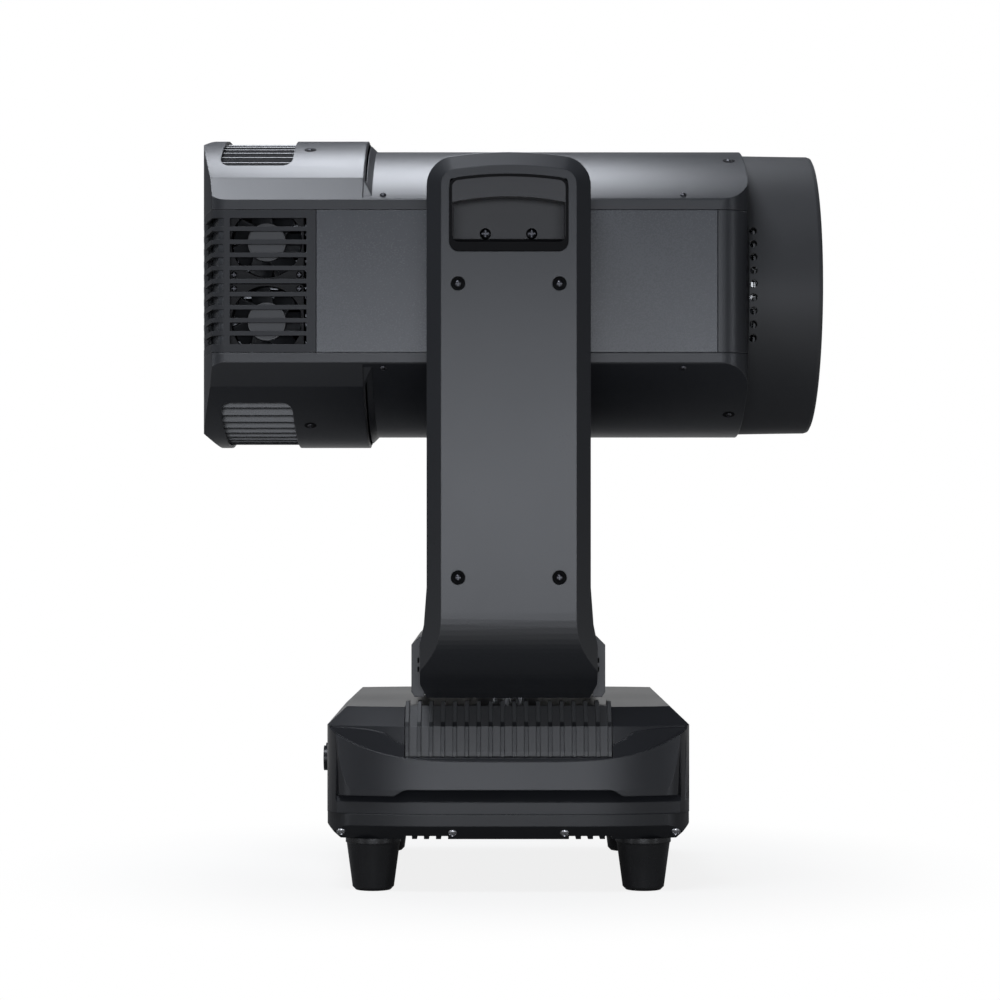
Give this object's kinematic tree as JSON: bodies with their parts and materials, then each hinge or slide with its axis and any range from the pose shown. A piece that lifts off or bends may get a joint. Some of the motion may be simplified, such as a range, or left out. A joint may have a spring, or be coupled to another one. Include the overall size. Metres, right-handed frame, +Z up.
{
  "type": "moving head light",
  "caption": "Stage moving head light: finned floor base, a yoke that pans, and a boxy fan-cooled head with a round hood that tilts between the arms.",
  "frame": {"origin": "on the floor under the pan axis", "axes": "+Z up along the pan axis, +X the way the beam points at rest, +Y towards the far arm"},
  "size_m": [0.6, 0.48, 0.724],
  "materials": {
    "charcoal_paint": "textured satin moulding",
    "panel_paint": "fine textured powder coat",
    "black_plastic": "satin black moulding",
    "motor_black": "black enamel",
    "foot_rubber": "glossy black rubber",
    "lens_glass": "clear coated",
    "screen_glass": "dark glossy window",
    "board": "solder mask",
    "fin_alloy": "satin",
    "steel": "zinc plated",
    "button_grey": "satin"
  },
  "bodies": {
    "base": {"bottom_pan": "charcoal_paint", "base_cover": "charcoal_paint", "base_heat_sinks": "fin_alloy", "feet": "foot_rubber", "bracket_sockets": "steel", "base_screws": "steel", "connector_panel": "black_plastic", "power_connectors": "black_plastic", "data_connectors": "fin_alloy", "display_panel": "black_plastic", "display_screen": "screen_glass", "power_supply": "fin_alloy", "control_board": "board", "pan_spindle": "steel"},
    "yoke": {"yoke_plate": "steel", "yoke_cover": "charcoal_paint", "bearings": "steel", "pan_belt": "foot_rubber", "pan_motor": "motor_black", "arm_plate_near": "steel", "arm_plate_far": "steel", "arm_inner_near": "charcoal_paint", "arm_inner_far": "charcoal_paint", "arm_cover_near": "charcoal_paint", "arm_cover_far": "charcoal_paint", "handle_near": "black_plastic", "handle_far": "black_plastic", "arm_screws": "steel", "tilt_motor": "motor_black", "tilt_belt": "foot_rubber"},
    "head": {"head_chassis": "fin_alloy", "tilt_pulley": "fin_alloy", "upper_cover": "charcoal_paint", "lower_cover": "charcoal_paint", "side_panel_near": "panel_paint", "side_panel_far": "panel_paint", "fan_grille_near": "charcoal_paint", "fan_grille_far": "charcoal_paint", "rear_panel": "panel_paint", "vent_louvres": "fin_alloy", "front_bezel": "charcoal_paint", "front_hood": "charcoal_paint", "front_lens": "lens_glass", "head_screws": "steel", "fan_frames": "black_plastic", "heat_sink": "fin_alloy", "light_engine": "fin_alloy"},
    "pan_motor_pulley": {"pan_motor_pulley": "fin_alloy"},
    "tilt_motor_pulley": {"tilt_motor_pulley": "fin_alloy"},
    "fan_near_upper": {"fan_rotor_near_upper": "black_plastic"},
    "fan_near_lower": {"fan_rotor_near_lower": "black_plastic"},
    "fan_far_upper": {"fan_rotor_far_upper": "black_plastic"},
    "fan_far_lower": {"fan_rotor_far_lower": "black_plastic"},
    "colour_wheel": {"colour_wheel": "fin_alloy"},
    "gobo_wheel": {"gobo_wheel": "steel"},
    "zoom_carriage": {"zoom_carriage": "fin_alloy"},
    "button_mode": {"button_mode": "button_grey"},
    "button_up": {"button_up": "button_grey"},
    "button_down": {"button_down": "button_grey"},
    "button_enter": {"button_enter": "button_grey"}
  },
  "joints": [
    {"name": "pan", "type": "hinge", "parent": "base", "child": "yoke", "pos_m": [0, 0, 0.181], "axis": [0, 0, 1], "range_deg": [-270, 270]},
    {"name": "tilt", "type": "hinge", "parent": "yoke", "child": "head", "pos_m": [0, 0, 0.572], "axis": [0, -1, 0], "range_deg": [-45, 225]},
    {"name": "pan_motor_spin", "type": "hinge", "parent": "yoke", "child": "pan_motor_pulley", "pos_m": [0, 0.2005, 0.213], "axis": [0, 0, 1], "range_deg": [-1510, 1510]},
    {"name": "tilt_motor_spin", "type": "hinge", "parent": "yoke", "child": "tilt_motor_pulley", "pos_m": [0, -0.1905, 0.381], "axis": [0, -1, 0], "range_deg": [-230, 1130]},
    {"name": "fan_near_upper_spin", "type": "hinge", "parent": "head", "child": "fan_near_upper", "pos_m": [-0.228, -0.146, 0.60935], "axis": [0, 1, 0], "continuous": true},
    {"name": "fan_near_lower_spin", "type": "hinge", "parent": "head", "child": "fan_near_lower", "pos_m": [-0.228, -0.146, 0.53465], "axis": [0, 1, 0], "continuous": true},
    {"name": "fan_far_upper_spin", "type": "hinge", "parent": "head", "child": "fan_far_upper", "pos_m": [-0.228, 0.146, 0.60935], "axis": [0, 1, 0], "continuous": true},
    {"name": "fan_far_lower_spin", "type": "hinge", "parent": "head", "child": "fan_far_lower", "pos_m": [-0.228, 0.146, 0.53465], "axis": [0, 1, 0], "continuous": true},
    {"name": "colour_wheel_spin", "type": "hinge", "parent": "head", "child": "colour_wheel", "pos_m": [-0.112, 0, 0.51], "axis": [1, 0, 0], "continuous": true},
    {"name": "gobo_wheel_spin", "type": "hinge", "parent": "head", "child": "gobo_wheel", "pos_m": [-0.104, 0, 0.634], "axis": [1, 0, 0], "continuous": true},
    {"name": "zoom_slide", "type": "slide", "parent": "head", "child": "zoom_carriage", "axis": [1, 0, 0], "range_m": [-0.06, 0.06]},
    {"name": "button_mode_press", "type": "slide", "parent": "base", "child": "button_mode", "axis": [-1, 0, 0], "range_m": [0, 0.0008], "stiffness_N_per_m": 800},
    {"name": "button_up_press", "type": "slide", "parent": "base", "child": "button_up", "axis": [-1, 0, 0], "range_m": [0, 0.0008], "stiffness_N_per_m": 800},
    {"name": "button_down_press", "type": "slide", "parent": "base", "child": "button_down", "axis": [-1, 0, 0], "range_m": [0, 0.0008], "stiffness_N_per_m": 800},
    {"name": "button_enter_press", "type": "slide", "parent": "base", "child": "button_enter", "axis": [-1, 0, 0], "range_m": [0, 0.0008], "stiffness_N_per_m": 800}
  ],
  "couplings": [
    {"joint": "pan_motor_spin", "follows": "pan", "ratio": -5.5556},
    {"joint": "tilt_motor_spin", "follows": "tilt", "ratio": 5}
  ]
}
